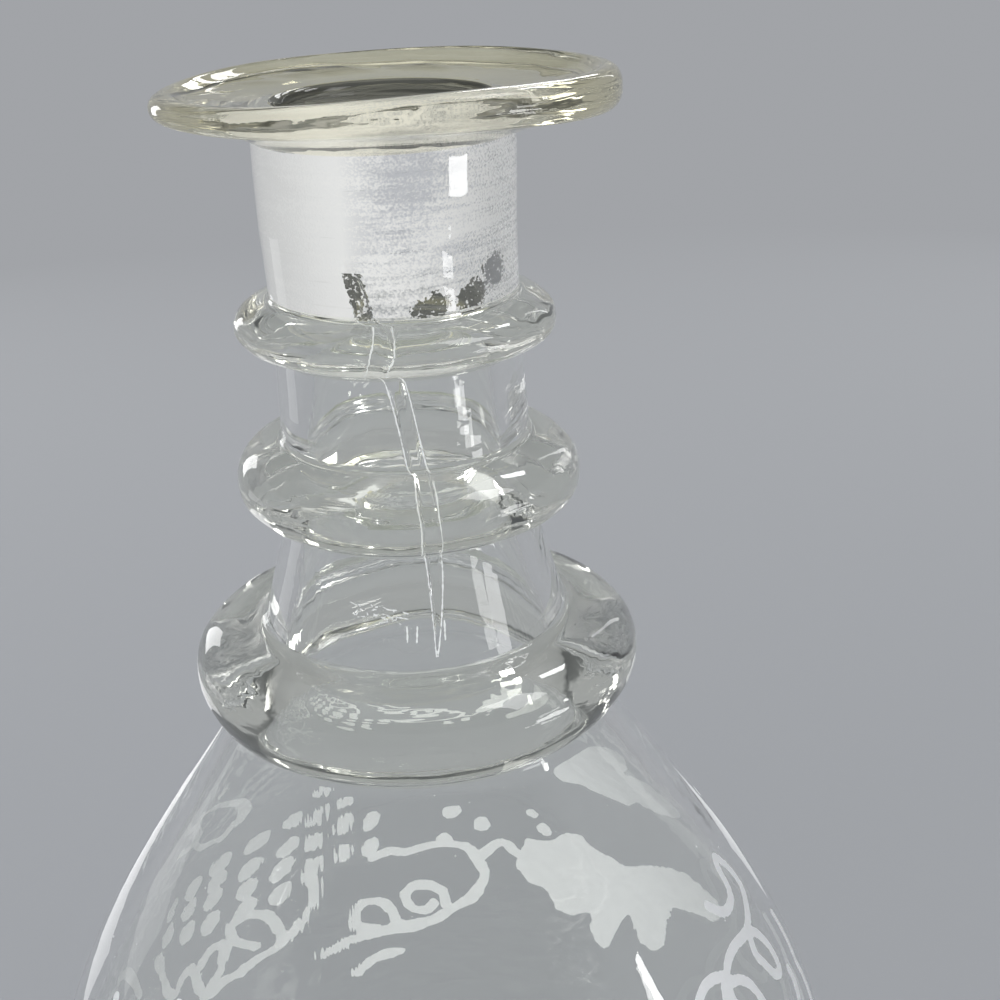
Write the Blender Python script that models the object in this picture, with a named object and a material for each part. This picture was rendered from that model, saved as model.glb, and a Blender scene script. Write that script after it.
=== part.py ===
"""Three-ring decanter of blown glass.

The real thing is made from separate gathers of hot glass: one blown vessel with its neck,
one gather laid on the neck's end and tooled out to a pouring lip, and three trails wound
round the neck as grip rings. Each gather is one solid here, seated on the vessel's outline.

Frame: metres, +Z up along the axis of the neck, origin at the middle of the foot.
"""
import math

import bpy
import bmesh

# Fineness of the turned surfaces
SEGMENTS = 56
SHOULDER_STEPS = 10
LOWER_BODY_STEPS = 8
HEEL_STEPS = 4
FLARE_STEPS = 6
NECK_STEPS = 2
RING_ARC_STEPS = 8
LIP_ARC_STEPS = 6
DOME_STEPS = 5
HALVINGS = 24
SHARP_ANGLE_DEGREES = 40
STEEP_FACE_LIMIT = 0.5

# Gap between two gathers that are fused on the real object
SEAT_GAP = 0.0003

# Foot: a flat resting ring round a pushed-up base
FOOT_RADIUS = 0.0405
FOOT_LAND = 0.005
KICK_UP_HEIGHT = 0.007
BASE_THICKNESS = 0.006
HEEL_RADIUS = 0.050
HEEL_HEIGHT = 0.009

# Body
BELLY_RADIUS = 0.0627
BELLY_HEIGHT = 0.069
ROOT_RADIUS = 0.0267
ROOT_HEIGHT = 0.1495
BODY_WALL = 0.0032

# Neck, from the root under the lowest ring up to the cut end under the lip
NECK_WAIST_RADIUS = 0.0172
NECK_GRIP_RADIUS = 0.0164
NECK_END_RADIUS = 0.0169
NECK_WALL = 0.0038

# Rings, each placed from the one below it
LOWER_RING_RISE = 0.0085
LOWER_RING_RADIUS = 0.0313
LOWER_RING_TOP = 0.0065
LOWER_RING_BOTTOM = 0.0078
MIDDLE_RING_RISE = 0.0274
MIDDLE_RING_RADIUS = 0.0235
MIDDLE_RING_HALF = 0.0054
UPPER_RING_RISE = 0.0217
UPPER_RING_RADIUS = 0.0215
UPPER_RING_HALF = 0.0033
RING_EDGE = 0.0004

# Neck above the upper ring, and the stopper seat ground into it
NECK_END_RISE = 0.0241
SEAT_LENGTH = 0.0215
SEAT_TOP_RADIUS = 0.0132
SEAT_BOTTOM_RADIUS = 0.0123
SEAT_STEP = 0.0004

# Pouring lip
LIP_RADIUS = 0.0295
LIP_RIM_THICKNESS = 0.0043
LIP_HEIGHT = 0.0070
LIP_DISH_DEPTH = 0.0026
LIP_THROAT_ROUND = 0.0016

# Heights that the sizes above give
LOWER_RING_HEIGHT = ROOT_HEIGHT + LOWER_RING_RISE
MIDDLE_RING_HEIGHT = LOWER_RING_HEIGHT + MIDDLE_RING_RISE
UPPER_RING_HEIGHT = MIDDLE_RING_HEIGHT + UPPER_RING_RISE
NECK_END_HEIGHT = UPPER_RING_HEIGHT + NECK_END_RISE
SEAT_BOTTOM_HEIGHT = NECK_END_HEIGHT - SEAT_LENGTH
LIP_BOTTOM_HEIGHT = NECK_END_HEIGHT + SEAT_GAP
LIP_TOP_HEIGHT = LIP_BOTTOM_HEIGHT + LIP_HEIGHT

# Lean of the outline where its curves meet: run outwards for each unit of height downwards
ROOT_LEAN = 0.62
FLARE_LEAN = 0.32
WAIST_LEAN = 0.20
HEEL_LEAN = -0.36

# Fullness of each curve, as the share of its height that a handle reaches
SHOULDER_BELLY_SHARE = 0.44
SHOULDER_ROOT_SHARE = 0.33
LOWER_BELLY_SHARE = 0.45
LOWER_HEEL_SHARE = 0.35
HEEL_SIDE_SHARE = 0.55
HEEL_FOOT_SHARE = 0.60
FLARE_SHARE = 0.30

# Colours: clear glass with a faint straw tint, and ground glass
CLEAR_GLASS = (0.93, 0.95, 0.91)
TINTED_GLASS = (0.93, 0.92, 0.80)
GROUND_GLASS = (0.90, 0.92, 0.93)
CLEAR_ROUGHNESS = 0.03
GROUND_ROUGHNESS = 0.45
GLASS_IOR = 1.52


def clear_scene():
    """Remove every object that the file opened with."""
    for item in list(bpy.data.objects):
        bpy.data.objects.remove(item, do_unlink=True)


def glass_material(name, colour, roughness):
    """Principled glass with its own colour and roughness."""
    material = bpy.data.materials.new(name)
    material.use_nodes = True
    shader = material.node_tree.nodes["Principled BSDF"]
    shader.inputs["Base Color"].default_value = (*colour, 1.0)
    shader.inputs["Roughness"].default_value = roughness
    shader.inputs["Metallic"].default_value = 0.0
    shader.inputs["IOR"].default_value = GLASS_IOR
    shader.inputs["Transmission Weight"].default_value = 1.0
    return material


def bezier(start, start_handle, end_handle, end, steps):
    """Points of a cubic curve of (radius, height), without its last point."""
    points = []
    for step in range(steps):
        t = step / steps
        u = 1 - t
        points.append(tuple(u * u * u * start[k] + 3 * u * u * t * start_handle[k]
                            + 3 * u * t * t * end_handle[k] + t * t * t * end[k] for k in (0, 1)))
    return points


def curve_between(low, low_lean, low_share, high, high_lean, high_share, steps):
    """Curve up from low to high, leaving each end along its lean."""
    rise = high[1] - low[1]
    low_reach, high_reach = rise * low_share, rise * high_share
    low_handle = (low[0] - low_lean * low_reach, low[1] + low_reach)
    high_handle = (high[0] + high_lean * high_reach, high[1] - high_reach)
    return bezier(low, low_handle, high_handle, high, steps)


def between(low, high, share):
    """Value at a share of the way from low to high."""
    return low + (high - low) * share


def heel_curve(foot, heel):
    """Round heel, flat at the foot's edge and leaning like the side where it meets it."""
    foot_handle = (between(foot[0], heel[0], HEEL_FOOT_SHARE), foot[1])
    drop = HEEL_HEIGHT * HEEL_SIDE_SHARE
    return bezier(foot, foot_handle, (heel[0] + HEEL_LEAN * drop, heel[1] - drop), heel, HEEL_STEPS)


def vessel_outer_outline():
    """Outside of the vessel, from the foot's edge up to the cut end of the neck."""
    foot = (FOOT_RADIUS, 0.0)
    heel = (HEEL_RADIUS, HEEL_HEIGHT)
    belly = (BELLY_RADIUS, BELLY_HEIGHT)
    root = (ROOT_RADIUS, ROOT_HEIGHT)
    waist = (NECK_WAIST_RADIUS, MIDDLE_RING_HEIGHT - MIDDLE_RING_HALF)
    grip = (NECK_GRIP_RADIUS, UPPER_RING_HEIGHT)
    end = (NECK_END_RADIUS, NECK_END_HEIGHT)
    return [
        *heel_curve(foot, heel),
        *curve_between(heel, HEEL_LEAN, LOWER_HEEL_SHARE, belly, 0.0, LOWER_BELLY_SHARE, LOWER_BODY_STEPS),
        *curve_between(belly, 0.0, SHOULDER_BELLY_SHARE, root, ROOT_LEAN, SHOULDER_ROOT_SHARE, SHOULDER_STEPS),
        *curve_between(root, FLARE_LEAN, FLARE_SHARE, waist, WAIST_LEAN, FLARE_SHARE, FLARE_STEPS),
        *curve_between(waist, 0.0, FLARE_SHARE, grip, 0.0, FLARE_SHARE, NECK_STEPS),
        *curve_between(grip, 0.0, FLARE_SHARE, end, 0.0, FLARE_SHARE, NECK_STEPS),
        end,
    ]


def radius_at(outline, height):
    """Radius of an outline, read along its straight facets."""
    for (low_radius, low), (high_radius, high) in zip(outline, outline[1:]):
        if low <= height <= high:
            return between(low_radius, high_radius, (height - low) / (high - low))
    return outline[-1][0]


def inner_wall_point(outline, index):
    """Point inside the wall, square to the outline at one of its points."""
    radius, height = outline[index]
    before = outline[max(index - 1, 0)]
    after = outline[min(index + 1, len(outline) - 1)]
    along = math.hypot(after[0] - before[0], after[1] - before[1])
    neck_share = min(max((height - BELLY_HEIGHT) / (LOWER_RING_HEIGHT - BELLY_HEIGHT), 0.0), 1.0)
    wall = between(BODY_WALL, NECK_WALL, neck_share)
    return (radius - wall * (after[1] - before[1]) / along,
            height + wall * (after[0] - before[0]) / along)


def vessel_inner_outline(outer):
    """Inside of the vessel, from the bottom's middle up to the neck's end."""
    wall = [inner_wall_point(outer, index) for index in range(len(outer))]
    wall = [(radius, height) for radius, height in wall
            if BASE_THICKNESS < height < SEAT_BOTTOM_HEIGHT - SEAT_STEP * 2]
    floor = []
    for step in range(DOME_STEPS):
        share = step / DOME_STEPS
        dome = KICK_UP_HEIGHT * (1 + math.cos(math.pi * share)) / 2
        floor.append((wall[0][0] * share, BASE_THICKNESS + dome))
    seat = [(SEAT_BOTTOM_RADIUS + SEAT_STEP, SEAT_BOTTOM_HEIGHT - SEAT_STEP),
            (SEAT_BOTTOM_RADIUS, SEAT_BOTTOM_HEIGHT),
            (SEAT_TOP_RADIUS, NECK_END_HEIGHT)]
    return floor + wall + seat


def kick_up_outline():
    """Underside, from the foot's inner edge up to the middle of the dome."""
    rim = FOOT_RADIUS - FOOT_LAND
    points = []
    for step in range(DOME_STEPS + 1):
        angle = math.pi / 2 * step / DOME_STEPS
        points.append((rim * math.cos(angle), KICK_UP_HEIGHT * math.sin(angle)))
    points[-1] = (0.0, KICK_UP_HEIGHT)
    return points


def seat_radius(outer, height):
    """Radius of a ring's seat, just clear of the vessel."""
    return radius_at(outer, height) + SEAT_GAP


def back_end(outer, centre, crest, reach):
    """Angle at which the round back of a ring comes down to its seat; reach is negative downwards."""
    middle = seat_radius(outer, centre)
    low, high = 0.0, math.pi / 2
    for _ in range(HALVINGS):
        angle = (low + high) / 2
        back = between(middle, crest, math.cos(angle))
        seat = seat_radius(outer, centre + reach * math.sin(angle)) + RING_EDGE
        low, high = (angle, high) if back > seat else (low, angle)
    return low


def ring_section(outer, centre, crest, up, down):
    """Closed section of a neck ring: an elliptic back that runs down to its seat on the neck."""
    middle = seat_radius(outer, centre)
    bottom_angle = back_end(outer, centre, crest, -down)
    top_angle = back_end(outer, centre, crest, up)
    back = []
    for step in range(RING_ARC_STEPS + 1):
        angle = between(-bottom_angle, top_angle, step / RING_ARC_STEPS)
        reach = up if angle > 0 else down
        back.append((between(middle, crest, math.cos(angle)), centre + reach * math.sin(angle)))
    bottom, top = back[0][1], back[-1][1]
    seat = [(radius + SEAT_GAP, height) for radius, height in outer if bottom < height < top]
    return back + [(seat_radius(outer, top), top), *seat[::-1], (seat_radius(outer, bottom), bottom)]


def lip_section():
    """Closed section of the pouring lip: flat seat, swept underside, round rim and dished top."""
    rim = LIP_RIM_THICKNESS / 2
    rim_radius = LIP_RADIUS - rim
    rim_height = LIP_TOP_HEIGHT - rim
    under_start = (NECK_END_RADIUS, LIP_BOTTOM_HEIGHT)
    under_end = (rim_radius, rim_height - rim)
    section = [(SEAT_TOP_RADIUS, LIP_BOTTOM_HEIGHT)]
    for step in range(LIP_ARC_STEPS):
        share = step / LIP_ARC_STEPS
        section.append((between(under_start[0], under_end[0], share),
                        between(under_start[1], under_end[1], math.sin(math.pi / 2 * share))))
    for step in range(LIP_ARC_STEPS + 1):
        angle = math.pi * (step / LIP_ARC_STEPS - 0.5)
        section.append((rim_radius + rim * math.cos(angle), rim_height + rim * math.sin(angle)))
    throat_radius = SEAT_TOP_RADIUS + LIP_THROAT_ROUND
    throat_height = LIP_TOP_HEIGHT - LIP_DISH_DEPTH
    for step in range(1, LIP_ARC_STEPS):
        share = step / LIP_ARC_STEPS
        section.append((between(rim_radius, throat_radius, share),
                        between(LIP_TOP_HEIGHT, throat_height, math.sin(math.pi / 2 * share))))
    for step in range(LIP_ARC_STEPS // 2 + 1):
        angle = math.pi / 2 * step / (LIP_ARC_STEPS // 2)
        section.append((throat_radius - LIP_THROAT_ROUND * math.sin(angle),
                        throat_height - LIP_THROAT_ROUND * (1 - math.cos(angle))))
    return section


def turned_object(name, section, materials):
    """Spin a section of (radius, height) points round +Z into one closed solid."""
    mesh = bpy.data.meshes.new(name)
    turned = bmesh.new()
    verts = [turned.verts.new((radius, 0.0, height)) for radius, height in section]
    edges = [turned.edges.new(pair) for pair in zip(verts, verts[1:])]
    if section[0][0] > 0.0:
        edges.append(turned.edges.new((verts[-1], verts[0])))
    bmesh.ops.spin(turned, geom=verts + edges, cent=(0.0, 0.0, 0.0), axis=(0.0, 0.0, 1.0),
                   dvec=(0.0, 0.0, 0.0), angle=2 * math.pi, steps=SEGMENTS,
                   use_merge=True, use_duplicate=False)
    bmesh.ops.remove_doubles(turned, verts=turned.verts[:], dist=SEAT_GAP / SEGMENTS)
    bmesh.ops.recalc_face_normals(turned, faces=turned.faces[:])
    turned.to_mesh(mesh)
    turned.free()
    mesh.shade_smooth()
    mesh.set_sharp_from_angle(angle=math.radians(SHARP_ANGLE_DEGREES))
    for material in materials:
        mesh.materials.append(material)
    piece = bpy.data.objects.new(name, mesh)
    bpy.context.scene.collection.objects.link(piece)
    return piece


def mark_ground_seat(vessel):
    """Give the ground finish to the faces of the stopper seat, inside the neck."""
    for face in vessel.data.polygons:
        centre = face.center
        inside = math.hypot(centre.x, centre.y) < SEAT_TOP_RADIUS + SEAT_GAP
        if inside and centre.z > SEAT_BOTTOM_HEIGHT and abs(face.normal.z) < STEEP_FACE_LIMIT:
            face.material_index = 1


def build_vessel(outer):
    """Blown vessel: outside, down the cut neck end, the ground seat, the bore and the floor."""
    section = kick_up_outline()[::-1] + outer + vessel_inner_outline(outer)[::-1]
    clear = glass_material("vessel_glass", CLEAR_GLASS, CLEAR_ROUGHNESS)
    ground = glass_material("ground_seat_glass", GROUND_GLASS, GROUND_ROUGHNESS)
    vessel = turned_object("vessel", section, [clear, ground])
    mark_ground_seat(vessel)
    return vessel


def build_rings(outer):
    """The three applied rings, each wound on the vessel's own outline."""
    rings = (
        ("neck_ring_lower", LOWER_RING_HEIGHT, LOWER_RING_RADIUS, LOWER_RING_TOP, LOWER_RING_BOTTOM),
        ("neck_ring_middle", MIDDLE_RING_HEIGHT, MIDDLE_RING_RADIUS, MIDDLE_RING_HALF, MIDDLE_RING_HALF),
        ("neck_ring_upper", UPPER_RING_HEIGHT, UPPER_RING_RADIUS, UPPER_RING_HALF, UPPER_RING_HALF),
    )
    for name, centre, crest, up, down in rings:
        glass = glass_material(name + "_glass", CLEAR_GLASS, CLEAR_ROUGHNESS)
        turned_object(name, ring_section(outer, centre, crest, up, down), [glass])


def build_lip():
    """The pouring lip, seated on the cut end of the neck."""
    glass = glass_material("pouring_lip_glass", TINTED_GLASS, CLEAR_ROUGHNESS)
    turned_object("pouring_lip", lip_section(), [glass])


def main():
    clear_scene()
    outer = vessel_outer_outline()
    build_vessel(outer)
    build_rings(outer)
    build_lip()


main()
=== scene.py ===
"""Looks of the three-ring decanter: clear blown glass, a ground stopper seat and an etched vine.

Each gather of glass is turned round +Z from the same sizes as its solid, then given the small
unevenness of hot glass worked by hand. The units are metres, but what is drawn on the glass has
its places in degrees round it and millimetres up.
"""
import math
from math import cos, pi, radians, sin

import bpy
import mathutils.noise
import numpy as np
from mathutils import Matrix, Vector


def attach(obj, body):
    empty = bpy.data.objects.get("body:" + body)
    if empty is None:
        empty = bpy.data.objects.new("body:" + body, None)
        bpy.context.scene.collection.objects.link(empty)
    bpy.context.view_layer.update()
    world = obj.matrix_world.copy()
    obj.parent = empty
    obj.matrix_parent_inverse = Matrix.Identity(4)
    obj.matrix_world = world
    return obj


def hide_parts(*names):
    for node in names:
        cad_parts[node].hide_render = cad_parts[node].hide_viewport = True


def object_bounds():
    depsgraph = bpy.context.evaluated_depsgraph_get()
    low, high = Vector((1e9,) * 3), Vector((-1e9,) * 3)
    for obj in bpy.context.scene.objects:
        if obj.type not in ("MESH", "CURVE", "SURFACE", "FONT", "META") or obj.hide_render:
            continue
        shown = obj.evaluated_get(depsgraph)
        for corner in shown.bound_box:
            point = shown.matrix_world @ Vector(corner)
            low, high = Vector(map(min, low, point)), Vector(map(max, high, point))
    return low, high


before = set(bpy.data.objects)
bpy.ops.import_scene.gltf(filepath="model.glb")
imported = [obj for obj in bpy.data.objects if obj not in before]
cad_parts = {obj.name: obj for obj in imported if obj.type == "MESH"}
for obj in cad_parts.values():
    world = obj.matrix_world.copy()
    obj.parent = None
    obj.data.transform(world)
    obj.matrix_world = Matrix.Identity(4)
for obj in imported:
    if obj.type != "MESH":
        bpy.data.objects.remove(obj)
cad_low, cad_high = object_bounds()
scene = bpy.context.scene

MM = 0.001

# Camera, solved from the outlines in the photograph
CAMERA_PLACE = Vector((0.0, -0.2169, 0.26766))
CAMERA_YAW = 0.0591
CAMERA_PITCH = 0.3853
CAMERA_ROLL = -0.0413
CAMERA_FOCAL_PIXELS = 1679.8
PHOTO_SIDE = 1000
SENSOR_WIDTH = 36.0
NEAR_CLIP = 0.01

# Sizes of the vessel and lip, and places of the rings, as in the solids
FOOT_RADIUS = 0.0405
FOOT_LAND = 0.005
KICK_UP_HEIGHT = 0.007
BASE_THICKNESS = 0.006
HEEL_RADIUS = 0.050
HEEL_HEIGHT = 0.009
BELLY_RADIUS = 0.0627
BELLY_HEIGHT = 0.069
ROOT_RADIUS = 0.0267
ROOT_HEIGHT = 0.1495
BODY_WALL = 0.0032
NECK_WAIST_RADIUS = 0.0172
NECK_GRIP_RADIUS = 0.0164
NECK_END_RADIUS = 0.0169
NECK_WALL = 0.0038
LOWER_RING_HEIGHT = 0.1580
MIDDLE_RING_HEIGHT = 0.1854
UPPER_RING_HEIGHT = 0.2071
NECK_END_HEIGHT = 0.2312
WAIST_HEIGHT = 0.1800
SEAT_BOTTOM_HEIGHT = 0.2097
SEAT_TOP_RADIUS = 0.0132
SEAT_BOTTOM_RADIUS = 0.0123
SEAT_STEP = 0.0004
LIP_TOP_HEIGHT = cad_high.z
LIP_RADIUS = 0.0295
LIP_RIM_THICKNESS = 0.0043
LIP_DISH_DEPTH = 0.0026
LIP_THROAT_ROUND = 0.0016

# Curves of the outline, as in the solid
ROOT_LEAN, FLARE_LEAN, WAIST_LEAN, HEEL_LEAN = 0.62, 0.32, 0.20, -0.36
SHOULDER_BELLY_SHARE, SHOULDER_ROOT_SHARE = 0.44, 0.33
LOWER_BELLY_SHARE, LOWER_HEEL_SHARE = 0.45, 0.35
HEEL_SIDE_SHARE, HEEL_FOOT_SHARE = 0.55, 0.60
FLARE_SHARE = 0.30

# Segments round the glass, steps for each unit of an outline, and parts of a segment at the fold
SEGMENTS = 192
FINE = 5
FOLD_FINENESS = 3
SHARP_ANGLE = radians(50)

# Gap between the two faces of a fused seam
SEAM_GAP = 0.00001
# Material slots of the pieces of glass
CLEAR, SEAM, GROUND = range(3)


def between(low, high, share):
    return low + (high - low) * share


def shares(steps):
    """Shares of a way at even steps, from 0 up to but without 1."""
    return [step / steps for step in range(steps)]


def blend(weights, points):
    return tuple(sum(weight * point[k] for weight, point in zip(weights, points)) for k in (0, 1))


# Turned outlines

def bezier(start, start_handle, end_handle, end, steps):
    """Points of a cubic curve of (radius, height), without its last point."""
    points = []
    for t in shares(steps):
        u = 1 - t
        weights = (u * u * u, 3 * u * u * t, 3 * u * t * t, t * t * t)
        points.append(blend(weights, (start, start_handle, end_handle, end)))
    return points


def curve_between(low, low_lean, low_share, high, high_lean, high_share, steps):
    """Curve up from low to high, leaving each end along its lean."""
    rise = high[1] - low[1]
    low_reach, high_reach = rise * low_share, rise * high_share
    low_handle = (low[0] - low_lean * low_reach, low[1] + low_reach)
    high_handle = (high[0] + high_lean * high_reach, high[1] - high_reach)
    return bezier(low, low_handle, high_handle, high, steps)


def outer_outline():
    """Outside of the vessel, from the foot's edge up to the cut end of the neck."""
    foot, heel = (FOOT_RADIUS, 0.0), (HEEL_RADIUS, HEEL_HEIGHT)
    belly, root = (BELLY_RADIUS, BELLY_HEIGHT), (ROOT_RADIUS, ROOT_HEIGHT)
    waist, grip = (NECK_WAIST_RADIUS, WAIST_HEIGHT), (NECK_GRIP_RADIUS, UPPER_RING_HEIGHT)
    end = (NECK_END_RADIUS, NECK_END_HEIGHT)
    foot_handle = (between(foot[0], heel[0], HEEL_FOOT_SHARE), 0.0)
    drop = HEEL_HEIGHT * HEEL_SIDE_SHARE
    heel_handle = (heel[0] + HEEL_LEAN * drop, heel[1] - drop)
    return [
        *bezier(foot, foot_handle, heel_handle, heel, 3 * FINE),
        *curve_between(heel, HEEL_LEAN, LOWER_HEEL_SHARE, belly, 0.0, LOWER_BELLY_SHARE, 8 * FINE),
        *curve_between(belly, 0.0, SHOULDER_BELLY_SHARE, root, ROOT_LEAN, SHOULDER_ROOT_SHARE, 10 * FINE),
        *curve_between(root, FLARE_LEAN, FLARE_SHARE, waist, WAIST_LEAN, FLARE_SHARE, 6 * FINE),
        *curve_between(waist, 0.0, FLARE_SHARE, grip, 0.0, FLARE_SHARE, 4 * FINE),
        *curve_between(grip, 0.0, FLARE_SHARE, end, 0.0, FLARE_SHARE, 4 * FINE),
        end,
    ]


def radius_at(outline, height):
    radii, heights = zip(*outline)
    return np.interp(height, heights, radii)


def with_heights(outline, heights):
    """Outline with extra points at the given heights."""
    extra = [(radius_at(outline, height), height) for height in heights]
    return sorted(set(outline) | set(extra), key=lambda point: point[1])


def inner_outline(outer):
    """Inside of the vessel, from the middle of the floor up to the neck's end."""
    points = np.array(outer)
    along = np.gradient(points, axis=0)
    along /= np.linalg.norm(along, axis=1)[:, None]
    share = np.clip((points[:, 1] - BELLY_HEIGHT) / (LOWER_RING_HEIGHT - BELLY_HEIGHT), 0, 1)
    wall = between(BODY_WALL, NECK_WALL, share)
    inside = np.stack([points[:, 0] - wall * along[:, 1], points[:, 1] + wall * along[:, 0]], 1)
    keep = (inside[:, 1] > BASE_THICKNESS) & (inside[:, 1] < SEAT_BOTTOM_HEIGHT - 2 * SEAT_STEP)
    side = [tuple(point) for point in inside[keep]]
    floor = [(side[0][0] * share, BASE_THICKNESS + KICK_UP_HEIGHT * (1 + cos(pi * share)) / 2)
             for share in shares(6 * FINE)]
    seat = [(between(SEAT_BOTTOM_RADIUS, SEAT_TOP_RADIUS, share),
             between(SEAT_BOTTOM_HEIGHT, NECK_END_HEIGHT, share)) for share in (*shares(4 * FINE), 1.0)]
    shoulder = [(SEAT_BOTTOM_RADIUS + SEAT_STEP, SEAT_BOTTOM_HEIGHT - SEAT_STEP)]
    return floor + side + shoulder + seat


def kick_up_outline():
    """Underside, from the middle of the dome out to the foot's inner edge."""
    rim = FOOT_RADIUS - FOOT_LAND
    points = [(0.0, KICK_UP_HEIGHT)]
    for step in range(6 * FINE - 1, -1, -1):
        angle = pi / 2 * step / (6 * FINE)
        points.append((rim * cos(angle), KICK_UP_HEIGHT * sin(angle)))
    return points


# Long tapering fold inside the neck: (degrees, millimetres up, half width in degrees)
FOLD_STATIONS = (
    (-83, 165, 0.3), (-82, 168, 1.3), (-81, 172, 2.6), (-80.5, 176, 3.8), (-81, 179, 4.3),
    (-82, 182.5, 4.7), (-83.5, 186, 5.0), (-85.5, 190, 5.0), (-88, 194.5, 4.9), (-90.5, 198.5, 5.1),
    (-93.5, 202, 5.3), (-98.5, 205, 5.4), (-104, 208.5, 5.4), (-108.5, 212.5, 5.2), (-112, 216, 5.0),
    (-112.5, 216.8, 1.0),
)
# Degrees between which the fold lies, how far it stands proud, and how much of its half width slopes
FOLD_ARC = (-120, -74)
FOLD_RELIEF = 0.00034
FOLD_SIDE_SHARE = 0.45


# Unevenness of glass worked by hand

# Swells: (share of the amplitude, waves round, weight of the phase, turn for each metre up)
SWELLS = ((0.50, 2, 1.0, 31), (0.28, 3, 2.1, -57), (0.22, 5, 3.3, 118))


def waves(theta, height, amplitude, phase):
    """Slow swells round and along the glass; each phase gives another pattern."""
    return amplitude * sum(share * np.sin(count * theta + weight * phase + turn * height)
                           for share, count, weight, turn in SWELLS)


# Sideways lean of the neck and tilt of what is round it, by height: (height, lean, tilt)
NECK_STATIONS = (
    (0.000, 0.0, 0.0), (0.150, 0.0, 0.0), (0.165, 0.0003, 0.004),
    (0.1854, 0.0005, 0.018), (0.2071, 0.0000, 0.016), (0.2200, -0.0003, 0.008), (0.2385, 0.0, 0.0),
)


def bend_by_hand(points):
    """The whole decanter's lean and tilt, the same for every piece, so that seams stay closed."""
    heights, leans, tilts = zip(*NECK_STATIONS)
    bent = points.copy()
    bent[:, 0] += np.interp(points[:, 2], heights, leans)
    bent[:, 2] -= np.interp(points[:, 2], heights, tilts) * points[:, 0]
    return bent


def round_angles():
    """Angles of the segments round +Z, closer together where the fold in the neck lies."""
    step = 360 / SEGMENTS
    even = np.arange(SEGMENTS) * step - 180
    near = even[(even >= FOLD_ARC[0]) & (even < FOLD_ARC[1])]
    finer = [near + step * part / FOLD_FINENESS for part in range(1, FOLD_FINENESS)]
    return np.radians(np.sort(np.concatenate([even, *finer])))


def bent_mesh(name, verts, faces, slots):
    """Smooth mesh with the decanter's lean; slots[i] is the material of face i."""
    mesh = bpy.data.meshes.new(name)
    mesh.from_pydata(bend_by_hand(verts).tolist(), [], faces)
    mesh.polygons.foreach_set("material_index", slots)
    mesh.polygons.foreach_set("use_smooth", [True] * len(faces))
    mesh.update()
    mesh.set_sharp_from_angle(angle=SHARP_ANGLE)
    return mesh


def turned_mesh(name, section, finishes, wobble):
    """Mesh of a section turned round +Z.

    finishes[i] is the material of the span from point i to the next, and the last point has one
    only where the section is a loop. wobble(theta, radius, height, row) gives the change of
    radius and of height at each point.
    """
    theta = round_angles()
    count = len(theta)
    verts, rows = [], []
    for row, (radius, height) in enumerate(section):
        if radius == 0.0:
            rows.append([len(verts)] * count)
            verts.append((0.0, 0.0, height))
            continue
        out, up = wobble(theta, radius, height, row)
        rows.append(range(len(verts), len(verts) + count))
        level = height + up + 0 * theta
        verts.extend(zip((radius + out) * np.cos(theta), (radius + out) * np.sin(theta), level))
    faces, slots = [], []
    for span, finish in enumerate(finishes):
        low, high = rows[span], rows[(span + 1) % len(rows)]
        for i in range(count):
            j = (i + 1) % count
            faces.append(list(dict.fromkeys((low[i], low[j], high[j], high[i]))))
        slots += [finish] * count
    return bent_mesh(name, np.array(verts), faces, slots)


def add_object(name, data):
    thing = bpy.data.objects.new(name, data)
    scene.collection.objects.link(thing)
    return thing


def show(mesh, *materials):
    """Piece made of a mesh, under the mesh's name."""
    for material in materials:
        mesh.materials.append(material)
    piece = add_object(mesh.name, mesh)
    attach(piece, "root")
    return piece


# Materials

GLASS_IOR = 1.52

# Noises: (stretch of the coordinates for each axis, fineness, detail)
EVEN = (1.0, 1.0, 1.0)
STRIAE = ((1.0, 1.0, 2.6), 60.0)
SMEARS = (EVEN, 90.0, 4.0)
GRINDING_LINES = ((0.14, 0.14, 3.0), 520.0, 5.0)
GRINDING_CLOUD = ((1.0, 1.0, 1.5), 150.0)
GRINDING_GRAIN = (EVEN, 3600.0)
GRINDING_EDGE = (EVEN, 350.0)
RAGGED_EDGE = (EVEN, 2100.0, 3.0)
FROST_GRAIN = (EVEN, 3500.0, 3.0)
FROST_CLOUD = (EVEN, 240.0, 3.0)
TOOL_MARKS_FINENESS = 420.0


def plug_in(tree, sockets, values):
    """Set each socket to its value, or link it where the value is a socket itself."""
    for socket, value in zip(sockets, values):
        if isinstance(value, bpy.types.NodeSocket):
            tree.links.new(value, socket)
        else:
            socket.default_value = value


def add_node(tree, kind, **inputs):
    """Node of a kind; inputs are the values of its sockets, or sockets to link to them."""
    node = tree.nodes.new("ShaderNode" + kind)
    plug_in(tree, [node.inputs[name.replace("_", " ")] for name in inputs], inputs.values())
    return node


def operate(tree, kind, operation, values):
    node = add_node(tree, kind)
    node.operation = operation
    plug_in(tree, node.inputs, values)
    return node.outputs


def math_node(tree, operation, *values):
    return operate(tree, "Math", operation, values)[0]


def vector_measure(tree, operation, *vectors):
    """LENGTH of one vector, or DISTANCE between two."""
    return operate(tree, "VectorMath", operation, vectors)["Value"]


def object_place(tree):
    return add_node(tree, "TexCoord").outputs["Object"]


def axes(tree, place):
    """The sockets X, Y and Z of a place."""
    return add_node(tree, "SeparateXYZ", Vector=place).outputs


def noise(tree, stretch, fineness, detail=2.0):
    mapping = add_node(tree, "Mapping", Vector=object_place(tree), Scale=stretch)
    return add_node(tree, "TexNoise", Vector=mapping.outputs["Vector"], Scale=fineness,
                    Detail=detail).outputs["Fac"]


def remap(tree, value, low, high, to_low, to_high):
    return add_node(tree, "MapRange", Value=value, From_Min=low, From_Max=high,
                    To_Min=to_low, To_Max=to_high).outputs["Result"]


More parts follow.
